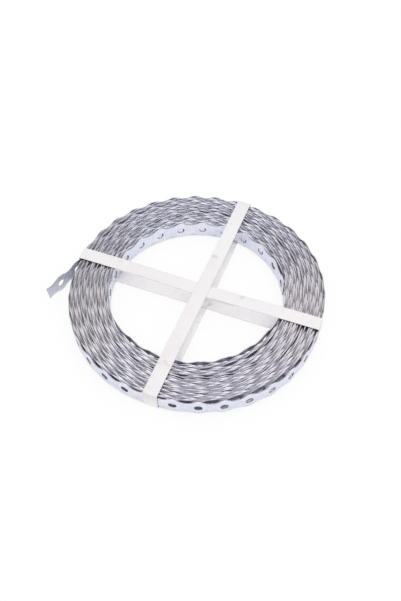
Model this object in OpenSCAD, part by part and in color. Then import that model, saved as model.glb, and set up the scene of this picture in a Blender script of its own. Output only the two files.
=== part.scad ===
// Coil of wavy-edged perforated steel strap, tied flat with two crossed plastic bands.
// Millimetres, +Z up. The coil's axis is Z, and it lies on the lower runs of its bands.

/* [Strap] */
// Width of the strap across a hole
strap_w = 17; // [15:0.5:20]
// Width of the strap at a waist, midway between two holes
waist_w = 11.5; // [10:0.25:12.5]
// Thickness of the strap
strap_t = 0.75; // [0.6:0.05:1]
// Diameter of the holes
hole_d = 6.5; // [4:0.25:8]
// Distance from one hole to the next along the strap
hole_pitch = 20; // [18:0.5:23]

/* [Coil] */
// Outside diameter of the coil
coil_od = 216; // [190:1:250]
// Diameter of the eye in the middle of the coil
eye_d = 146; // [110:1:160]
// Play between one turn and the next
turn_play = 0.15; // [0.02:0.01:0.3]
// Turns from one groove to the next on the ends of the coil
turns_per_groove = 4; // [3:1:8]
// Angle round the coil of the last hole on the outer turn
outer_hole_angle = 174.9; // [172:0.1:178]
// Angle round the coil of the first hole on the inner turn
inner_hole_angle = 168.7; // [150:0.1:175]

/* [Tail] */
// Length of the free end, from where it leaves the coil to its cut
tail_len = 41; // [34:0.5:60]
// Angle at which the free end stands away from the coil
tail_angle = 20.3; // [12:0.1:35]
// Slant of the cut across the free end
tail_cut_angle = 5; // [0:1:12]
// Distance from the root of the free end to its first hole
tail_hole = 6; // [4.5:0.1:10]
// Distance from the band that holds the outer turn to the root of the free end
tail_clear = 0.3; // [0.2:0.1:4]

/* [Bands] */
// Width of the tie bands
band_w = 12; // [9:0.5:15]
// Thickness of the tie bands
band_t = 0.6; // [0.4:0.05:1]
// Play between a band and the outer turn
band_play = 0.1; // [0.05:0.05:0.3]
// Gap between the two bands where they cross in the eye
cross_gap = 0.1; // [0.05:0.05:0.5]
// Sideways place of the lower of the crossed bands
under_shift = 0; // [-6:0.1:6]
// Sideways place of the upper of the crossed bands
over_shift = 5.1; // [-10:0.1:10]
// Angle by which the upper of the crossed bands lies askew
over_skew = 0.8; // [-2:0.1:2]

/* [Hidden] */
$fn = 96;
eps = 0.4;

coil_r = coil_od / 2;
eye_r = eye_d / 2;
coil_z = band_t;
mid_z = coil_z + strap_w / 2;
turn_pitch = strap_t + turn_play;

// Crest arcs are concentric with the holes. The waist arc is a little flatter than the
// arc that would be tangent to both crests, so it meets each in a faint corner.
waist_ease = 1.085;
tangent_r = (pow(hole_pitch / 2, 2) + pow(waist_w / 2, 2) - pow(strap_w / 2, 2)) / (strap_w - waist_w);
waist_r = tangent_r * waist_ease;
waist_v = waist_w / 2 + waist_r;
crest_u = hole_pitch / 2 * strap_w / 2 / (strap_w / 2 + tangent_r);
crest_v = (waist_w / 2 + tangent_r) * strap_w / 2 / (strap_w / 2 + tangent_r);
waist_reach = 0.7;
waist_u = hole_pitch / 2 - crest_u * waist_reach;
cut_reach = 2;

// Every few turns the ends show a turn at its waist, as a groove one turn wide.
groove_w = turn_pitch;
groove_depth = (strap_w - waist_w) / 2 + eps;
rings_from = eye_r + strap_t + groove_w;
rings_to = coil_r - strap_t - groove_w;
ring_count = round((rings_to - rings_from) / (turns_per_groove * turn_pitch));
ring_w = (rings_to - rings_from - (ring_count - 1) * groove_w) / ring_count;

outer_holes = round(2 * PI * coil_r / hole_pitch);
inner_holes = round(2 * PI * eye_r / hole_pitch);

tail_at = 180 + asin((band_w / 2 - under_shift + tail_clear) / coil_r);
tail_root = 1;

bend_ease = 2;
bend_half = band_w / 2 + bend_ease;
cross_dip = band_t + cross_gap;
under_reach = coil_r + band_play;
over_reach = under_reach + abs(over_shift * sin(over_skew));

// Places a flat outline, drawn with its Y up, on a plane square to the radius at this angle
module on_turn(angle, radius, depth) {
  rotate([0, 0, angle])
    translate([radius, 0, mid_z])
      rotate([90, 0, 90])
        linear_extrude(depth)
          children();
}

// What is cut off over the crest of one wave, down to the arc round its hole
module crest_offcut() {
  difference() {
    translate([-crest_u, crest_v - eps])
      square([2 * crest_u, strap_w / 2 - crest_v + 3 * eps]);
    circle(d = strap_w);
  }
}

// What is cut off at a waist, down to the arc that joins two crests
module waist_offcut() {
  intersection() {
    translate([0, waist_v])
      circle(r = waist_r);
    translate([-waist_u, 0])
      square([2 * waist_u, strap_w]);
  }
}

// The same offcut at both edges of a turn, at every wave round it
module edge_offcuts(radius, waves, first_angle) {
  for (i = [0 : waves - 1])
    on_turn(first_angle - i * 360 / waves, radius - cut_reach, strap_t + 2 * cut_reach)
      for (side = [0, 1])
        mirror([0, side])
          children();
}

// One turn of strap as a tube with wavy edges, its holes still to be drilled
module wavy_turn(radius, waves, first_angle) {
  difference() {
    difference() {
      translate([0, 0, coil_z - eps])
        rotate_extrude()
          translate([radius, 0])
            square([strap_t, strap_w + 2 * eps]);
      edge_offcuts(radius, waves, first_angle)
        crest_offcut();
    }
    edge_offcuts(radius, waves, first_angle - 180 / waves)
      waist_offcut();
  }
}

// The wound turns between the outer and the inner one, turned as one solid
module wound_turns() {
  translate([0, 0, coil_z])
    rotate_extrude()
      union() {
        translate([eye_r + strap_t / 2, groove_depth])
          square([coil_r - eye_r - strap_t, strap_w - 2 * groove_depth]);
        for (i = [0 : ring_count - 1])
          translate([rings_from + i * (ring_w + groove_w), 0])
            square([ring_w, strap_w]);
      }
}

// A row of holes round a turn, each one strap thickness deep
module hole_row(radius, depth, holes, first_angle) {
  for (i = [0 : holes - 1])
    on_turn(first_angle - i * 360 / holes, radius, depth)
      circle(d = hole_d);
}

// Flat outline of the free end, along X from its root to its slanted cut
module tail_outline() {
  last = ceil(tail_len / hole_pitch);
  intersection() {
    polygon([
      [-tail_root, -strap_w],
      [tail_len - strap_w * tan(tail_cut_angle), -strap_w],
      [tail_len + strap_w * tan(tail_cut_angle), strap_w],
      [-tail_root, strap_w]
    ]);
    difference() {
      union() {
        translate([-hole_pitch, -crest_v])
          square([tail_len + 2 * hole_pitch, 2 * crest_v]);
        for (i = [0 : last])
          translate([tail_hole + i * hole_pitch, 0])
            circle(d = strap_w);
      }
      for (i = [0 : last])
        translate([tail_hole + i * hole_pitch, 0])
          circle(d = hole_d);
      for (i = [-1 : last], side = [-1, 1])
        translate([tail_hole + (i + 0.5) * hole_pitch, side * waist_v])
          circle(r = waist_r);
    }
  }
}

// The free end, standing away from the outer turn
module tail() {
  rotate([0, 0, tail_at])
    translate([coil_r - strap_t / 2, 0, mid_z])
      rotate([0, 0, -tail_angle])
        translate([-strap_t / 2, 0, 0])
          rotate([90, 0, 90])
            linear_extrude(strap_t)
              tail_outline();
}

module strap_coil() {
  color([0.72, 0.74, 0.79])
    union() {
      difference() {
        union() {
          wound_turns();
          wavy_turn(coil_r - strap_t, outer_holes, outer_hole_angle);
          wavy_turn(eye_r, inner_holes, inner_hole_angle);
        }
        hole_row(coil_r - strap_t, strap_t + eps, outer_holes, outer_hole_angle);
        hole_row(eye_r - eps, strap_t + eps, inner_holes, inner_hole_angle);
      }
      tail();
    }
}

// Points of one run of a band, eased towards the middle of the coil where the bands cross
function band_run(half_len, z, mid, dip_at) = [
  [-half_len, z],
  [-eye_r, z],
  [dip_at - bend_half, mid],
  [dip_at + bend_half, mid],
  [eye_r, z],
  [half_len, z]
];

function reversed(points) = [for (i = [len(points) - 1 : -1 : 0]) points[i]];

// Flat outline of a closed band: round the coil, over it and back under it
module band_outline(inside, dip, dip_at) {
  outside = inside + band_t;
  top = coil_z + strap_w;
  difference() {
    polygon(concat(
      band_run(outside, coil_z - band_t, coil_z - band_t + dip, dip_at),
      reversed(band_run(outside, top + band_t, top + band_t - dip, dip_at))
    ));
    polygon(concat(
      band_run(inside, coil_z, coil_z + dip, dip_at),
      reversed(band_run(inside, top, top - dip, dip_at))
    ));
    for (side = [0, 1], end = [0, 1])
      mirror([side, 0])
        translate([inside, end == 0 ? coil_z : top])
          mirror([0, 1 - end])
            difference() {
              square(band_t + eps);
              circle(r = band_t);
            }
  }
}

module tie_band(inside, dip, dip_at) {
  rotate([90, 0, 0])
    linear_extrude(band_w, center = true)
      band_outline(inside, dip, dip_at);
}

module tie_band_under() {
  color([0.95, 0.94, 0.95])
    translate([0, under_shift, 0])
      tie_band(under_reach, cross_dip, over_shift);
}

module tie_band_over() {
  color([0.97, 0.96, 0.97])
    translate([over_shift, 0, 0])
      rotate([0, 0, 90 - over_skew])
        tie_band(over_reach, 0, under_shift);
}

strap_coil();
tie_band_under();
tie_band_over();
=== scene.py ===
import math

import bpy
import numpy as np
from mathutils import Matrix, Vector


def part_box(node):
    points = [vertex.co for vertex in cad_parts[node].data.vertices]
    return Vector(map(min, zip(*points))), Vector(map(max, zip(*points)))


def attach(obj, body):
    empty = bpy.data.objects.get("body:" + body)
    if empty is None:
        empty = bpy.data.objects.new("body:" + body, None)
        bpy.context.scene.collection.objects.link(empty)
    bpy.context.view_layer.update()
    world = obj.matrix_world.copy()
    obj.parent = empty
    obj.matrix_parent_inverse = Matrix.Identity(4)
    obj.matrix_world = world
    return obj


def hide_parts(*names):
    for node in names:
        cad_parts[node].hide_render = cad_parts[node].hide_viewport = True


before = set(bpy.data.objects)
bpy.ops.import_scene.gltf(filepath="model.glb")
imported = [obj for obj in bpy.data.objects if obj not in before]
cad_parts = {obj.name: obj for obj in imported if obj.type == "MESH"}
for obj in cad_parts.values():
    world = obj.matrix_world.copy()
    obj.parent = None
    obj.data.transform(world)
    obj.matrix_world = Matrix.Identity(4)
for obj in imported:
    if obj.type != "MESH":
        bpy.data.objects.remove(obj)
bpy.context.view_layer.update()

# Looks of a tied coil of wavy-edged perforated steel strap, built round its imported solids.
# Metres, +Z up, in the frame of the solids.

MM = 0.001
WHITE = (1, 1, 1)
SEED = 7

# Strap
COIL_LOW, COIL_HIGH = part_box("strap_coil")
COIL_R = COIL_HIGH.y
STRAP_W = COIL_HIGH.z - COIL_LOW.z
MID_Z = (COIL_HIGH.z + COIL_LOW.z) / 2
STRAP_T = 0.75 * MM
WAIST_W = 11.5 * MM
HOLE_R = 3.25 * MM
HOLES_A_TURN = 34
PITCH = 2 * math.pi * (COIL_R - STRAP_T / 2) / HOLES_A_TURN

# Winding. The eye's radius sets the strap's length, and so where the inner holes lie.
EYE_R = 73.2235 * MM
TURNS = 39
SAMPLES_PER_TURN = 720
INNER_END = math.radians(21.5)
INNER_TIP = 8.5 * MM

# Share of a turn over which the strap climbs onto the turn below it
CLIMB_SHARE = 0.15

# How much the gaps between turns vary, and the share of a turn over which they do
LOOSENESS = 1.6
LOOSE_RUN = 0.07

# The turns lie most evenly at the right and at the left
EVEN_AT = (math.radians(6), math.radians(-162))
EVEN_SPREAD = math.radians(10)
EVENNESS = 0.8

# The innermost turns lie close together at the back, fully so from CLOSE_FROM on either side
CLOSE_TURNS = 2
CLOSE_SHARE = 0.12
CLOSE_FROM = math.radians(30)

# The innermost turn stands inward at the front, and the outermost one outward at the front right
INNER_SLACK = 2.1 * MM
INNER_SLACK_FROM = math.radians(-136)
INNER_SLACK_TO = math.radians(4)
SLACK_EASE = math.radians(22)
OUTER_SLACK = 1.9 * MM
OUTER_SLACK_AT = math.radians(-42)
OUTER_SLACK_SPREAD = math.radians(22)

# The next turn stands off where it passes over the strap's inner end, and the outermost turn is loose
END_GAP = 1.7 * MM
END_GAP_SPAN = math.radians(30)
OUTER_GAP = 0.5 * MM

# The tie bands pull the coil in a little where they go round it
PINCH = 1.2 * MM
PINCH_SPREAD = math.radians(14)

# The turns under the root of the free end are pressed in a little further
ROOT_PRESS = 1.5 * MM
ROOT_PRESS_SPREAD = math.radians(3.5)

# Free end
TAIL_AT = math.radians(183.34)
TAIL_ANGLE = math.radians(20.3)
TAIL_LEN = 41 * MM
TAIL_BEND = 2 * MM
TAIL_STEP = 0.5 * MM
TAIL_CUT_ANGLE = math.radians(5)
TAIL_FIRST_HOLE = 6 * MM
TAIL_END = TAIL_LEN - TAIL_FIRST_HOLE - PITCH

# How finely one wave of the strap is drawn, on the turns that show and between them
SIDE_STEPS = 3
FINE_STEPS = 16
PLAIN_STEPS = 8
FINE_OUTER_TURNS = 2
FINE_INNER_TURNS = 1.2
STRAP_SHARP = math.radians(40)

# The strap lies a little higher and lower along its length
EDGE_DRIFT = 0.06 * MM
EDGE_DRIFT_RUN = 9 * PITCH

# Tie bands
UNDER_LOW, UNDER_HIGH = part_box("tie_band_under")
OVER_LOW, OVER_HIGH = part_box("tie_band_over")
OVER_AT = (OVER_HIGH.x + OVER_LOW.x) / 2
OVER_SKEW = math.radians(0.8)
BAND_T = 0.6 * MM
BAND_W = UNDER_HIGH.y - UNDER_LOW.y
BAND_CORNER = 0.4 * MM
BAND_CORNER_POINTS = 7
BAND_EDGE_R = 0.22 * MM
BAND_EDGE_POINTS = 4
BAND_STEP = 1.5 * MM
BAND_SHARP = math.radians(50)
BAND_SAG = 0.35 * MM
CROSS_GAP = 0.1 * MM
CROSS_DIP = BAND_T + CROSS_GAP
CROSS_EASE = 22 * MM

# The bands wander sideways, in waves about this many steps long
BAND_WANDER = 0.22 * MM
BAND_WANDER_STEPS = 30

# Welded lap under the upper run of the lower band
LAP_FROM = 10 * MM
LAP_TO = 37 * MM
LAP_SHIFT = -0.6 * MM

# Colours of the zinc: its spangle, clouds over it, and the painted shade that darkens it in the gaps
# between turns
SPANGLE_DARK = (0.81, 0.825, 0.91)
SPANGLE_PALE = (0.88, 0.895, 0.97)
CLOUD_COOL = (0.94, 0.955, 1)
CLOUD_WARM = (1, 0.985, 1)
GAP_SHADE_ZINC = (0.50, 0.50, 0.52)

# Painted shade: how far the faces are darkened in the gaps beside the innermost and the outermost turn,
# and on the inner face of the free end
SHADE_INNER_GAP = 1
SHADE_OUTER_GAP = 0.8
SHADE_FREE_END = 0.38

# Colours of the sheared edges: their marks, a warm tint, and the painted shade that darkens them in the
# waists and fades out towards the crests
MARK_DARK = (0.54, 0.545, 0.585)
MARK_PALE = (0.65, 0.655, 0.695)
EDGE_WARM = (1, 0.98, 0.985)
PAINTED_WAIST_SHADE = (0.66, 0.66, 0.67)

# Grime on the edges at the left and right of the coil, with painted shade that darkens them there, and a
# grime tint on its front half
SIDE_AT = math.radians(20)
SIDE_GRIME_AND_SHADE = (0.77, 0.755, 0.75)
FRONT_GRIME = (1, 0.965, 0.965)

# Colours of the bands: the plastic, its upper run painted darker so that the lower runs, which lie in
# shade, look as bright as it (painted light), handling marks, dirt and the cut edges
PLASTIC_DARK = (0.92, 0.90, 0.905)
PLASTIC_PALE = (0.94, 0.93, 0.93)
UPPER_RUN_DIMMED = (0.805, 0.80, 0.812)
HANDLED = (0.985, 0.945, 0.95)
DIRT = (0.82, 0.81, 0.805)
DIRT_SHARE = 0.9
BAND_EDGE = (0.64, 0.60, 0.58)
PRESSED_LINES_AT = (math.radians(45), math.radians(-45))

# Floor. Under the coil's ring it turns dark within FLOOR_EASE of the ring's edges.
FLOOR_SIZE = 3
FLOOR_DARK = (0.86, 0.86, 0.865)
FLOOR_PALE = (0.88, 0.88, 0.88)
FLOOR_EASE = 4 * MM

# Share of plain white in the floor as the camera sees it near the coil; far off it is all white
FLOOR_WHITE = 0.86
FLOOR_IN_MIRRORS = 0.35
FAR_FROM = 0.2
FAR_TO = 0.7

# The soft light is weaker low down than overhead
SKY_LOW = 0.5
SKY_HIGH = 0.91
SKY_FULL_AT = 0.75

# Lamps, both turned to the middle of the coil
KEY_LAMP = {"place": (0.36, -0.56, 1.05), "width": 1.5, "depth": 1.5, "watts": 5.0}
BACK_LAMP = {"place": (-0.1, 0.55, 0.95), "width": 0.8, "depth": 1.5, "watts": 2.8}

# Camera, found by fitting the coil's edges in the 401 x 601 picture
IMAGE_W = 401
IMAGE_H = 601
FOCAL_PX = 689.2
CENTRE_PX = (196.64, 298.56)
CAMERA_AZIMUTH = math.radians(22)
CAMERA_ELEVATION = math.radians(53.53)
CAMERA_ROLL = math.radians(1.137)
CAMERA_DISTANCE = 591.2 * MM
CAMERA_TARGET = Vector((0, 0, 1.98 * MM))
CAMERA_SENSOR = 36
CAMERA_NEAR = 10 * MM


def smooth_noise(rng, count, width):
    """Closed run of noise of unit spread, smoothed over width samples."""
    raw = rng.standard_normal(count)
    reach = int(3 * width)
    kernel = np.exp(-0.5 * (np.arange(-reach, reach + 1) / width) ** 2)
    smooth = np.convolve(np.concatenate([raw, raw, raw]), kernel, "same")[count : 2 * count]
    return smooth / smooth.std()


def eased(share):
    """A share from 0 to 1, eased at both ends."""
    return share * share * (3 - 2 * share)


def angle_from(angle, centre):
    """How far an angle lies from another, the short way round."""
    return np.mod(angle - centre + math.pi, 2 * math.pi) - math.pi


def bell(angle, centre, spread):
    """1 at one angle round the coil, falling off on both sides."""
    return np.exp(-0.5 * (angle_from(angle, centre) / spread) ** 2)


def inner_slack(angle):
    """How far the innermost turn stands off the next one."""
    middle = (INNER_SLACK_FROM + INNER_SLACK_TO) / 2
    half = (INNER_SLACK_TO - INNER_SLACK_FROM) / 2
    inside = half - np.abs(angle_from(angle, middle))
    return INNER_SLACK * eased(np.clip(inside / SLACK_EASE, 0, 1))


def band_hold(angle):
    """How firmly the tie bands hold the outside of the coil: 1 at their four ends, 0 between them."""
    over = math.asin(OVER_AT / COIL_R)
    ends = (0, math.pi, math.pi / 2 - over, over - math.pi / 2)
    return sum(bell(angle, end, PINCH_SPREAD) for end in ends)


def root_press(angle):
    """How far the turns under the root of the free end are pressed in."""
    return ROOT_PRESS * bell(angle, TAIL_AT, ROOT_PRESS_SPREAD)


def end_gap(angle):
    """How far the second turn stands off the first one past the strap's inner end."""
    past = np.clip(np.mod(angle - INNER_END, 2 * math.pi) / END_GAP_SPAN, 0, 1)
    peak = 4 / 27
    return END_GAP * past * (1 - past) ** 2 / peak


def turn_gaps(angle, rng):
    """Gaps between the turns at these angles, as parts of the room there is for them."""
    noise = smooth_noise(rng, (TURNS - 1) * SAMPLES_PER_TURN, SAMPLES_PER_TURN * LOOSE_RUN)
    evenness = EVENNESS * sum(bell(angle, at, EVEN_SPREAD) for at in EVEN_AT)
    gap = np.exp(LOOSENESS * noise.reshape(TURNS - 1, SAMPLES_PER_TURN) * (1 - evenness))
    at_back = np.clip(np.sin(angle) / math.sin(CLOSE_FROM), 0, 1)
    gap[:CLOSE_TURNS] *= 1 - (1 - CLOSE_SHARE) * at_back
    return gap


def turn_radii(angle, rng):
    """Radius of each turn at these angles, each laid on the one below it with a small gap.

    Each turn climbs by the lead after its start, so that it ends where the next one begins. The last
    half turn keeps its place over the turns that are pressed in under the root of the free end.
    """
    gap = turn_gaps(angle, rng)
    hold = band_hold(angle)
    press = root_press(angle)
    outer_gap = OUTER_GAP * (1 - hold)
    outside = COIL_R - PINCH * hold - press
    room = outside - EYE_R - (TURNS + 1) * STRAP_T - outer_gap - end_gap(angle)
    scale = room / (gap.sum(0) + gap[0, 0])
    lead = STRAP_T + gap[0, 0] * scale[0]
    climb = np.clip(np.arange(SAMPLES_PER_TURN) / SAMPLES_PER_TURN / CLIMB_SHARE, 0, 1)
    start = EYE_R + STRAP_T / 2 + lead * eased(climb) + end_gap(angle)
    rise = STRAP_T + gap * scale
    rise[-1] += outer_gap
    radius = np.concatenate([start[None], start + np.cumsum(rise, 0)])
    radius[0] -= inner_slack(angle)
    radius[-1] += OUTER_SLACK * bell(angle, OUTER_SLACK_AT, OUTER_SLACK_SPREAD)
    half_turn = SAMPLES_PER_TURN // 2
    radius[-1, half_turn:] += press[half_turn:]
    return radius


def wound_turns(rng):
    """Centre line of the wound strap, from its inner end to the root of its free end."""
    step = 2 * math.pi / SAMPLES_PER_TURN
    inner_angle = np.arange(INNER_END, TAIL_AT, step) - 2 * math.pi * TURNS
    inner_radius = np.full(len(inner_angle), EYE_R + STRAP_T / 2)
    angle = TAIL_AT - 2 * math.pi * TURNS + step * np.arange(TURNS * SAMPLES_PER_TURN)
    radius = turn_radii(angle[:SAMPLES_PER_TURN], rng)
    angle = np.concatenate([inner_angle, angle])
    radius = np.concatenate([inner_radius, radius.ravel()])
    return radius * np.cos(angle), radius * np.sin(angle)


def free_end(x, y):
    """Centre line of the free end: a short bend away from the coil, then straight."""
    count = round((TAIL_LEN + STRAP_W) / TAIL_STEP)
    along = TAIL_STEP * (np.arange(count) + 0.5)
    heading = TAIL_AT + math.pi / 2 - TAIL_ANGLE * np.clip(along / TAIL_BEND, 0, 1)
    return x + np.cumsum(TAIL_STEP * np.cos(heading)), y + np.cumsum(TAIL_STEP * np.sin(heading))


class CentreLine:
    """The strap's centre line by arc length, from its inner end to past its outer one."""

    def __init__(self, rng):
        x, y = wound_turns(rng)
        self.root = np.hypot(np.diff(x), np.diff(y)).sum()
        end_x, end_y = free_end(x[-1], y[-1])
        self.x = np.concatenate([x, end_x])
        self.y = np.concatenate([y, end_y])
        steps = np.hypot(np.diff(self.x), np.diff(self.y))
        self.s = np.concatenate([[0], np.cumsum(steps)])
        self.out_x = np.gradient(self.y, self.s)
        self.out_y = -np.gradient(self.x, self.s)

    def points(self, s, offset, z):
        """Points at these lengths along the strap, this far to its outer side."""
        x = np.interp(s, self.s, self.x) + offset * np.interp(s, self.s, self.out_x)
        y = np.interp(s, self.s, self.y) + offset * np.interp(s, self.s, self.out_y)
        return np.stack([x, y, z], 1)


def half_width(u):
    """Half the strap's width at this distance from a hole: crest arcs joined by waist arcs."""
    crest_r = STRAP_W / 2
    waist = WAIST_W / 2
    half = PITCH / 2
    waist_r = (half**2 + waist**2 - crest_r**2) / (STRAP_W - WAIST_W)
    joint = half * crest_r / (crest_r + waist_r)
    from_crest = np.abs(np.mod(u + half, PITCH) - half)
    crest = np.sqrt(np.maximum(crest_r**2 - from_crest**2, 0))
    hollow = waist + waist_r - np.sqrt(np.maximum(waist_r**2 - (half - from_crest) ** 2, 0))
    return np.where(from_crest < joint, crest, hollow)


def wave_outline(steps, before, after):
    """Outline of one wave of strap round its hole, counter-clockwise from its lower right corner.

    It reaches this far before and after the hole: to a waist, or past it to a slanted end of the strap.
    """
    up = np.linspace(-1, 1, SIDE_STEPS + 1)
    slant = math.tan(TAIL_CUT_ANGLE) if after > PITCH / 2 else 0
    right_v = up * half_width(after)
    right_u = after + right_v * slant
    left_v = -up * half_width(before)
    left_u = np.full(SIDE_STEPS + 1, -before)
    top_u = np.linspace(right_u[-1], -before, steps + 1)[1:-1]
    low_u = np.linspace(-before, right_u[0], steps + 1)[1:-1]
    u = np.concatenate([right_u, top_u, left_u, low_u])
    v = np.concatenate([right_v, half_width(top_u), left_v, -half_width(low_u)])
    return u, v


def hole_outline(u, v):
    """As many points round the hole, spread between even steps and the outline's own angles."""
    angle = np.unwrap(np.arctan2(v, u))
    even = angle[0] + np.arange(len(u)) * 2 * math.pi / len(u)
    mean = (angle + even) / 2
    return HOLE_R * np.cos(mean), HOLE_R * np.sin(mean)


def wave_steps(line, middle):
    """Steps along each edge of the wave whose hole is at this length: more where it shows."""
    fine_after = line.root - FINE_OUTER_TURNS * 2 * math.pi * COIL_R
    fine_before = FINE_INNER_TURNS * 2 * math.pi * EYE_R
    return FINE_STEPS if middle > fine_after or middle < fine_before else PLAIN_STEPS


def strap_waves(line):
    """The strap drawn flat, wave by wave, each joined to the one before it along a seam of shared points.

    Gives its points as lengths along the strap and across it, its faces, and the edges that get a wall.
    """
    last_hole = line.root + TAIL_FIRST_HOLE + PITCH
    waves = int((last_hole - INNER_TIP) // PITCH) + 1
    first_hole = last_hole - (waves - 1) * PITCH
    s, v, faces, edges = [], [], [], []
    count = 0
    seam = None
    for wave in range(waves):
        first, last = wave == 0, wave == waves - 1
        middle = first_hole + wave * PITCH
        steps = wave_steps(line, middle)
        u, w = wave_outline(steps, INNER_TIP if first else PITCH / 2, TAIL_END if last else PITCH / 2)
        hole_u, hole_w = hole_outline(u, w)
        index = np.arange(len(u))
        following = np.roll(index, -1)
        right = index <= SIDE_STEPS
        left = (index >= SIDE_STEPS + steps) & (index <= 2 * SIDE_STEPS + steps)
        new = ~left | first
        ring = np.empty(len(u), int)
        ring[new] = count + np.arange(new.sum())
        if not first:
            ring[left] = seam[::-1]
        seam = ring[right]
        hole = count + new.sum() + index
        count += new.sum() + len(u)
        s += [middle + u[new], middle + hole_u]
        v += [w[new], hole_w]
        faces.append(np.stack([ring, ring[following], hole[following], hole], 1))
        joined_right = right & right[following] & (not last)
        joined_left = left & left[following] & (not first)
        edges.append(np.stack([ring[following], ring], 1)[~joined_right & ~joined_left])
        edges.append(np.stack([hole, hole[following]], 1))
    return np.concatenate(s), np.concatenate(v), np.concatenate(faces), np.concatenate(edges)


def painted_face_shade(line, s):
    """How far painted shade darkens the strap's outer and inner faces at these lengths."""
    outer_turn = 2 * math.pi * COIL_R
    in_outer_gap = (s > line.root - 2 * outer_turn) & (s < line.root - outer_turn)
    outer = np.where(in_outer_gap, SHADE_OUTER_GAP, 0)
    outer = np.where(s < 2 * math.pi * EYE_R, SHADE_INNER_GAP, outer)
    return outer, np.where(s < line.root, 0, SHADE_FREE_END)


def strap_mesh(line, rng):
    """The whole strap: both faces, hole walls, sheared edges and both ends."""
    s, v, skin, edges = strap_waves(line)
    knots = np.arange(0, line.s[-1] + EDGE_DRIFT_RUN, EDGE_DRIFT_RUN)
    drift = np.interp(s, knots, rng.uniform(-EDGE_DRIFT, EDGE_DRIFT, len(knots)))
    z = MID_Z + v * (1 - 2 * EDGE_DRIFT / STRAP_W) + drift
    outer = line.points(s, STRAP_T / 2, z)
    inner = line.points(s, -STRAP_T / 2, z)
    walls = np.concatenate([edges, edges[:, ::-1] + len(s)], 1)
    quads = np.concatenate([skin, skin[:, ::-1] + len(s), walls])
    mesh = new_mesh("perforated_strap", np.concatenate([outer, inner]), quads)
    store(mesh, "along", np.concatenate([s, s]))
    store(mesh, "across", np.concatenate([v, v]))
    store(mesh, "painted_shade", np.concatenate(painted_face_shade(line, s)))
    is_wall = np.arange(len(quads)) >= 2 * len(skin)
    mesh.polygons.foreach_set("material_index", is_wall.astype(np.int32))
    mesh.set_sharp_from_angle(angle=STRAP_SHARP)
    return mesh


def new_mesh(name, points, quads):
    """A smooth-shaded mesh of these points and four-sided faces."""
    mesh = bpy.data.meshes.new(name)
    mesh.from_pydata(points.tolist(), [], quads.tolist())
    mesh.polygons.foreach_set("use_smooth", np.ones(len(quads), bool))
    mesh.update()
    return mesh


def store(mesh, name, values):
    """Keeps one number a point on a mesh, for its material to read."""
    attribute = mesh.attributes.new(name, "FLOAT", "POINT")
    attribute.data.foreach_set("value", values.astype(np.float32))


def add_object(name, data):
    """Puts an object in the scene."""
    item = bpy.data.objects.new(name, data)
    bpy.context.scene.collection.objects.link(item)
    return item


def add_piece(mesh, node, materials):
    """Puts a mesh in the scene as the piece that stands for a CAD node."""
    piece = add_object(mesh.name, mesh)
    for material in materials:
        mesh.materials.append(material)
    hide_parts(node)
    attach(piece, "root")


def band_loop(half_len, low, high, dip, dip_at):
    """Centre line of a closed band as (along, z), from the far end of its upper run round the coil."""
    end = half_len - BAND_T / 2
    top = high - BAND_T / 2
    bottom = low + BAND_T / 2
    corner = end - BAND_CORNER
    run = np.arange(-corner, corner, BAND_STEP)
    near = np.clip(1 - np.abs(run - dip_at) / CROSS_EASE, 0, 1)
    dipped = dip * eased(near)
    sag = BAND_SAG * np.clip(1 - (run / EYE_R) ** 2, 0, 1)
    side = np.arange(bottom + BAND_CORNER, top - BAND_CORNER, BAND_STEP)[1:]
    bend = np.linspace(0, math.pi / 2, BAND_CORNER_POINTS)
    across = BAND_CORNER * np.cos(bend)
    rise = BAND_CORNER * np.sin(bend)
    loop = [
        (run[::-1], (top - dipped - sag)[::-1]),
        (-corner - rise, top - BAND_CORNER + across),
        (np.full(len(side), -end), side[::-1]),
        (-corner - across, bottom + BAND_CORNER - rise),
        (run, bottom + dipped),
        (corner + rise, bottom + BAND_CORNER - across),
        (np.full(len(side), end), side),
        (corner + across, top - BAND_CORNER + rise),
    ]
    return np.concatenate([along for along, z in loop]), np.concatenate([z for along, z in loop])


def band_section():
    """Section of a band with rounded edges, as (sideways, outward)."""
    quarter = np.linspace(0, math.pi / 2, BAND_EDGE_POINTS)
    out_u = BAND_W / 2 - BAND_EDGE_R + BAND_EDGE_R * np.sin(quarter)
    out_v = BAND_T / 2 - BAND_EDGE_R + BAND_EDGE_R * np.cos(quarter)
    right_u = np.concatenate([out_u, out_u[::-1]])
    right_v = np.concatenate([out_v, -out_v[::-1]])
    return np.concatenate([right_u, -right_u[::-1]]), np.concatenate([right_v, right_v[::-1]])


def swept(along, z, wander, closed):
    """A band's section carried along its centre line: points in the band's own plane, and faces.

    An open sweep is closed by a cap at each end. The last list is 1 on the band's narrow edges.
    """
    u, v = band_section()
    if closed:
        d_along = np.roll(along, -1) - np.roll(along, 1)
        d_z = np.roll(z, -1) - np.roll(z, 1)
    else:
        d_along, d_z = np.gradient(along), np.gradient(z)
    length = np.hypot(d_along, d_z)
    out_along, out_z = d_z / length, -d_along / length
    ring_along = along[:, None] + out_along[:, None] * v
    ring_z = z[:, None] + out_z[:, None] * v
    ring_side = np.broadcast_to(wander[:, None] + u, ring_along.shape)
    points = np.stack([ring_along, ring_side, ring_z], 2).reshape(-1, 3)
    count, size = len(along), len(u)
    index = np.arange(count * size).reshape(count, size)
    ahead = np.roll(index, -1, 0) if closed else index[1:]
    here = index if closed else index[:-1]
    quads = np.stack([here, np.roll(here, -1, 1), np.roll(ahead, -1, 1), ahead], 2).reshape(-1, 4)
    if not closed:
        right = np.arange(size // 2 - 1)
        left = size - 1 - right
        cap = np.stack([right, right + 1, left - 1, left], 1)
        quads = np.concatenate([quads, cap[:, ::-1], cap + (count - 1) * size])
    on_edge = np.clip((np.abs(u) - BAND_W / 2 + BAND_EDGE_R) / BAND_EDGE_R, 0, 1)
    return points, quads, np.tile(on_edge, count)


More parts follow.
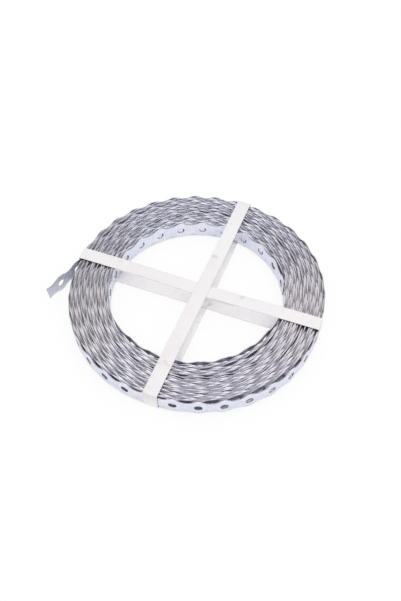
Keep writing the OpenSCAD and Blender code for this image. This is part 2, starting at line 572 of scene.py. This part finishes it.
def band_mesh(rng, name, low, high, heading, dip=0, dip_at=0):
    """One tie band, closed round the coil; one that dips at the crossing has its welded lap."""
    half_len = max(high - low) / 2 - PINCH
    middle = (high + low) / 2
    along, z = band_loop(half_len, low.z, high.z, dip, dip_at)
    wander = BAND_WANDER * smooth_noise(rng, len(along), BAND_WANDER_STEPS)
    wander = np.clip(wander, -2 * BAND_WANDER, 2 * BAND_WANDER)
    points, quads, edge = swept(along, z, wander, closed=True)
    if dip > 0:
        lap = (along > LAP_FROM) & (along < LAP_TO) & (z > MID_Z)
        lap_z = z[lap] - BAND_T
        lap_wander = wander[lap] + LAP_SHIFT
        lap_points, lap_quads, lap_edge = swept(along[lap], lap_z, lap_wander, closed=False)
        quads = np.concatenate([quads, lap_quads + len(points)])
        points = np.concatenate([points, lap_points])
        edge = np.concatenate([edge, lap_edge])
    x = middle.x + points[:, 0] * math.cos(heading) - points[:, 1] * math.sin(heading)
    y = middle.y + points[:, 0] * math.sin(heading) + points[:, 1] * math.cos(heading)
    mesh = new_mesh(name, np.stack([x, y, points[:, 2]], 1), quads)
    store(mesh, "edge", edge)
    mesh.set_sharp_from_angle(angle=BAND_SHARP)
    return mesh


class Nodes:
    """Short calls to build the node tree of a material or a world."""

    def __init__(self, owner):
        owner.use_nodes = True
        self.tree = owner.node_tree

    def add(self, kind, **values):
        """A new node with these sockets set."""
        node = self.tree.nodes.new(kind)
        self.set(node, **values)
        return node

    def set(self, node, **values):
        """Sets sockets to numbers or colours, or links them to other nodes' outputs.

        A socket goes by its name, with _ for each space, or by its number as i0, i1 and so on.
        """
        for key, value in values.items():
            by_number = key[0] == "i" and key[1:].isdigit()
            socket = node.inputs[int(key[1:]) if by_number else key.replace("_", " ")]
            if isinstance(value, bpy.types.NodeSocket):
                self.tree.links.new(value, socket)
            else:
                socket.default_value = (*value, 1) if socket.type == "RGBA" else value

    def surface(self, **values):
        """Sets the sockets of the material's own shader."""
        self.set(self.tree.nodes["Principled BSDF"], **values)

    def place(self):
        """Place in the frame of the solids, in metres."""
        return self.add("ShaderNodeTexCoord").outputs["Object"]

    def flat_place(self):
        """Place seen from above, with no height."""
        return self.vector("MULTIPLY", self.place(), (1, 1, 0))["Vector"]

    def attribute(self, name):
        """A number kept on the mesh's points."""
        node = self.add("ShaderNodeAttribute")
        node.attribute_name = name
        return node.outputs["Fac"]

    def noise(self, vector, scale, detail, roughness=0.5):
        node = self.add("ShaderNodeTexNoise", Vector=vector, Scale=scale, Detail=detail)
        self.set(node, Roughness=roughness)
        return node.outputs["Fac"]

    def turned(self, vector, angle):
        """A vector turned about the vertical."""
        return self.add("ShaderNodeMapping", Vector=vector, Rotation=(0, 0, angle)).outputs["Vector"]

    def parts(self, vector):
        return self.add("ShaderNodeSeparateXYZ", Vector=vector).outputs

    def math(self, operation, a, b=0):
        node = self.add("ShaderNodeMath", i0=a, i1=b)
        node.operation = operation
        return node.outputs[0]

    def vector(self, operation, a, b=(0, 0, 0)):
        node = self.add("ShaderNodeVectorMath", i0=a, i1=b)
        node.operation = operation
        return node.outputs

    def mapped(self, value, start, end, low=0, high=1):
        """A value that goes from start to end brought to low to high, and held there on both sides."""
        node = self.add("ShaderNodeMapRange", Value=value, From_Min=start, From_Max=end)
        self.set(node, To_Min=low, To_Max=high)
        return node.outputs["Result"]

    def ramp(self, value, low, high, dark, light):
        """A colour between dark and light, as value goes from low to high."""
        node = self.add("ShaderNodeValToRGB", Fac=value)
        for element, position, colour in zip(node.color_ramp.elements, (low, high), (dark, light)):
            element.position = position
            element.color = (*colour, 1)
        return node.outputs["Color"]

    def blend(self, kind, share, a, b):
        """Two colours blended, through the colour sockets of a mix node."""
        node = self.add("ShaderNodeMix")
        node.data_type = "RGBA"
        node.blend_type = kind
        self.set(node, i0=share, i6=a, i7=b)
        return node.outputs[2]

    def tinted(self, colour, tint, share=1):
        return self.blend("MULTIPLY", share, colour, tint)

    def bump(self, height, strength, distance):
        node = self.add("ShaderNodeBump", Height=height, Strength=strength, Distance=distance)
        return node.outputs["Normal"]

    def mix_shaders(self, share, first, second, output):
        """Mixes the outputs of two shaders into the tree's named output."""
        mix = self.add("ShaderNodeMixShader", i0=share, i1=first.outputs[0], i2=second.outputs[0])
        self.set(self.tree.nodes[output], Surface=mix.outputs[0])


def strap_place(nodes, stretch):
    """Place on the strap as a vector: length along it, width across it, both in metres."""
    drawn_out = nodes.math("MULTIPLY", nodes.attribute("along"), stretch)
    return nodes.add("ShaderNodeCombineXYZ", X=drawn_out, Y=nodes.attribute("across")).outputs["Vector"]


def zinc_face():
    """Hot-dip zinc: pale blue-grey spangle, drawn a little along the strap."""
    material = bpy.data.materials.new("zinc_face")
    nodes = Nodes(material)
    spangle = nodes.add("ShaderNodeTexVoronoi", Vector=strap_place(nodes, stretch=0.6), Scale=420)
    cells = nodes.ramp(spangle.outputs["Color"], 0.1, 0.9, SPANGLE_DARK, SPANGLE_PALE)
    cloud = nodes.noise(nodes.place(), scale=38, detail=3)
    clean = nodes.tinted(cells, nodes.ramp(cloud, 0.35, 0.68, CLOUD_COOL, CLOUD_WARM))
    # Painted shade: the faces are darkened in the gaps beside the innermost and outermost turns and on
    # the free end's inner face
    colour = nodes.tinted(clean, GAP_SHADE_ZINC, nodes.attribute("painted_shade"))
    streaks = nodes.noise(strap_place(nodes, stretch=0.06), scale=900, detail=4, roughness=0.6)
    roughness = nodes.mapped(streaks, 0, 1, low=0.34, high=0.5)
    relief = nodes.bump(streaks, strength=0.12, distance=0.02 * MM)
    nodes.surface(Base_Color=colour, Metallic=1, Roughness=roughness, Normal=relief)
    return material


def side_grime_and_shade(nodes):
    """Tint of the coil's edges: clean blue-grey at the back, brownish grime and painted shade that
    darkens them at the left and the right.
    """
    outward = nodes.vector("NORMALIZE", nodes.flat_place())["Vector"]
    parts = nodes.parts(nodes.turned(outward, -SIDE_AT))
    sideways = nodes.math("ABSOLUTE", parts["X"])
    # Painted shade mixed with grime: the edges at the left and the right are darkened as well as browned
    at_sides = nodes.ramp(sideways, 0.55, 0.96, WHITE, SIDE_GRIME_AND_SHADE)
    forward = nodes.mapped(parts["Y"], 1, -1)
    return nodes.tinted(at_sides, nodes.ramp(forward, 0.1, 0.5, WHITE, FRONT_GRIME))


def zinc_edge():
    """Sheared edges of the strap: zinc with short dull and bright marks, and painted shade in the waists
    that fades out on the crests.
    """
    material = bpy.data.materials.new("zinc_edge")
    nodes = Nodes(material)
    marks = nodes.noise(strap_place(nodes, stretch=0.12), scale=330, detail=2)
    shade = nodes.ramp(marks, 0.32, 0.70, MARK_DARK, MARK_PALE)
    cloud = nodes.noise(nodes.place(), scale=14, detail=1)
    warm = nodes.tinted(shade, nodes.ramp(cloud, 0.4, 0.62, WHITE, EDGE_WARM))
    tone = nodes.tinted(warm, side_grime_and_shade(nodes))
    # Painted shade: the edges are darkened in the waists, where they lie deep between neighbouring
    # crests, and not at all on the crests
    from_middle = nodes.math("ABSOLUTE", nodes.attribute("across"))
    toward_crest = nodes.mapped(from_middle, WAIST_W / 2, STRAP_W / 2)
    colour = nodes.tinted(tone, nodes.ramp(toward_crest, 0.05, 0.7, PAINTED_WAIST_SHADE, WHITE))
    roughness = nodes.mapped(marks, 0, 1, low=0.42, high=0.28)
    relief = nodes.bump(marks, strength=0.2, distance=0.1 * MM)
    nodes.surface(Base_Color=colour, Metallic=1, Roughness=roughness, Normal=relief)
    return material


def pressed_pattern(nodes, place):
    """Height of the diamonds pressed into a band, where two sets of lines cross."""
    lines = []
    for angle in PRESSED_LINES_AT:
        wave = nodes.add("ShaderNodeTexWave", Vector=nodes.turned(place, angle), Scale=240)
        wave.wave_profile = "SIN"
        lines.append(wave.outputs["Fac"])
    return nodes.math("MULTIPLY", *lines)


def band_plastic():
    """White strapping with a faint pressed diamond pattern and a few specks of dirt."""
    material = bpy.data.materials.new("band_plastic")
    nodes = Nodes(material)
    place = nodes.place()
    cloud = nodes.noise(place, scale=22, detail=2)
    clean = nodes.ramp(cloud, 0.35, 0.68, PLASTIC_DARK, PLASTIC_PALE)
    raised = nodes.mapped(nodes.parts(place)["Z"], UNDER_LOW.z, UNDER_HIGH.z)
    # Painted light: the band is painted darker towards its top, so its lower runs, which lie in shade,
    # come out as bright as its upper runs
    base = nodes.tinted(clean, UPPER_RUN_DIMMED, raised)
    smears = nodes.noise(place, scale=46, detail=3)
    handled = nodes.tinted(base, nodes.ramp(smears, 0.52, 0.72, WHITE, HANDLED))
    specks = nodes.noise(place, scale=120, detail=1)
    spotted = nodes.tinted(handled, nodes.ramp(specks, 0.68, 0.76, WHITE, DIRT), DIRT_SHARE)
    colour = nodes.blend("MIX", nodes.attribute("edge"), spotted, BAND_EDGE)
    relief = nodes.bump(pressed_pattern(nodes, place), strength=0.3, distance=0.05 * MM)
    nodes.surface(Base_Color=colour, Roughness=0.45, Normal=relief)
    return material


def seen_directly(nodes, in_camera, in_mirrors):
    """These shares for rays from the camera and through clear things, and for mirror rays, else 0."""
    rays = nodes.add("ShaderNodeLightPath").outputs
    direct = nodes.math("ADD", rays["Is Camera Ray"], rays["Is Transmission Ray"])
    in_view = nodes.math("MULTIPLY", direct, in_camera)
    return nodes.math("ADD", in_view, nodes.math("MULTIPLY", rays["Is Glossy Ray"], in_mirrors))


def open_floor(nodes):
    """1 on the floor round the coil and in its eye, 0 under its ring, and a little over 1 far off."""
    radius = nodes.vector("LENGTH", nodes.flat_place())["Value"]
    in_eye = nodes.mapped(radius, EYE_R + FLOOR_EASE, EYE_R)
    outside = nodes.mapped(radius, COIL_R - FLOOR_EASE, COIL_R)
    far_off = nodes.mapped(radius, FAR_FROM, FAR_TO, high=1 / FLOOR_WHITE - 1)
    return nodes.math("ADD", nodes.math("ADD", in_eye, outside), far_off)


def floor_paint():
    """Pale floor: white to the camera and in mirrors, with a part of its light left to its shadow."""
    material = bpy.data.materials.new("floor_paint")
    nodes = Nodes(material)
    grain = nodes.noise(nodes.place(), scale=3, detail=1)
    tone = nodes.ramp(grain, 0.3, 0.7, FLOOR_DARK, FLOOR_PALE)
    nodes.surface(Base_Color=tone, Roughness=0.9, Specular_IOR_Level=0)
    glow = nodes.add("ShaderNodeEmission", Strength=1)
    seen = seen_directly(nodes, FLOOR_WHITE, FLOOR_IN_MIRRORS)
    share = nodes.math("MULTIPLY", seen, open_floor(nodes))
    nodes.mix_shaders(share, nodes.tree.nodes["Principled BSDF"], glow, "Material Output")
    return material


def add_floor():
    corners = np.array([[-1, -1, 0], [1, -1, 0], [1, 1, 0], [-1, 1, 0]])
    mesh = new_mesh("floor", corners * FLOOR_SIZE / 2, np.array([[0, 1, 2, 3]]))
    mesh.materials.append(floor_paint())
    floor = add_object("floor", mesh)


def add_world():
    """Soft light from all round, white where it is seen directly."""
    world = bpy.data.worlds.new("studio")
    bpy.context.scene.world = world
    nodes = Nodes(world)
    height = nodes.parts(nodes.add("ShaderNodeTexCoord").outputs["Generated"])["Z"]
    soft = nodes.tree.nodes["Background"]
    nodes.set(soft, Color=WHITE, Strength=nodes.mapped(height, 0, SKY_FULL_AT, SKY_LOW, SKY_HIGH))
    white = nodes.add("ShaderNodeBackground", Color=WHITE, Strength=1)
    nodes.mix_shaders(seen_directly(nodes, 1, 0), soft, white, "World Output")


def add_lamp(name, place, width, depth, watts):
    lamp = bpy.data.lights.new(name, "AREA")
    lamp.shape = "RECTANGLE"
    lamp.size = width
    lamp.size_y = depth
    lamp.energy = watts
    item = add_object(name, lamp)
    item.location = place
    item.rotation_euler = (-Vector(place)).to_track_quat("-Z", "Y").to_euler()


def add_camera():
    level = math.cos(CAMERA_ELEVATION)
    back = Vector((
        math.sin(CAMERA_AZIMUTH) * level,
        -math.cos(CAMERA_AZIMUTH) * level,
        math.sin(CAMERA_ELEVATION),
    ))
    right = Vector((math.cos(CAMERA_AZIMUTH), math.sin(CAMERA_AZIMUTH), 0))
    up = back.cross(right)
    rolled_right = right * math.cos(CAMERA_ROLL) - up * math.sin(CAMERA_ROLL)
    rolled_up = up * math.cos(CAMERA_ROLL) + right * math.sin(CAMERA_ROLL)
    data = bpy.data.cameras.new("camera")
    data.lens = FOCAL_PX / IMAGE_H * CAMERA_SENSOR
    data.sensor_width = CAMERA_SENSOR
    data.shift_x = (IMAGE_W / 2 - CENTRE_PX[0]) / IMAGE_H
    data.shift_y = -(IMAGE_H / 2 - CENTRE_PX[1]) / IMAGE_H
    data.clip_start = CAMERA_NEAR
    camera = add_object("camera", data)
    pose = Matrix((rolled_right, rolled_up, back)).transposed().to_4x4()
    pose.translation = CAMERA_TARGET + back * CAMERA_DISTANCE
    camera.matrix_world = pose
    bpy.context.scene.camera = camera


def build():
    """The three pieces, drawn in this order from one run of random numbers."""
    rng = np.random.default_rng(SEED)
    strap = strap_mesh(CentreLine(rng), rng)
    add_piece(strap, "strap_coil", [zinc_face(), zinc_edge()])
    plastic = band_plastic()
    under = band_mesh(rng, "band_under", UNDER_LOW, UNDER_HIGH, heading=0, dip=CROSS_DIP, dip_at=OVER_AT)
    add_piece(under, "tie_band_under", [plastic])
    over = band_mesh(rng, "band_over", OVER_LOW, OVER_HIGH, heading=math.pi / 2 - OVER_SKEW)
    add_piece(over, "tie_band_over", [plastic])


build()
add_floor()
add_world()
add_lamp("key", **KEY_LAMP)
add_lamp("back", **BACK_LAMP)
add_camera()
bpy.context.scene.view_settings.view_transform = "Standard"
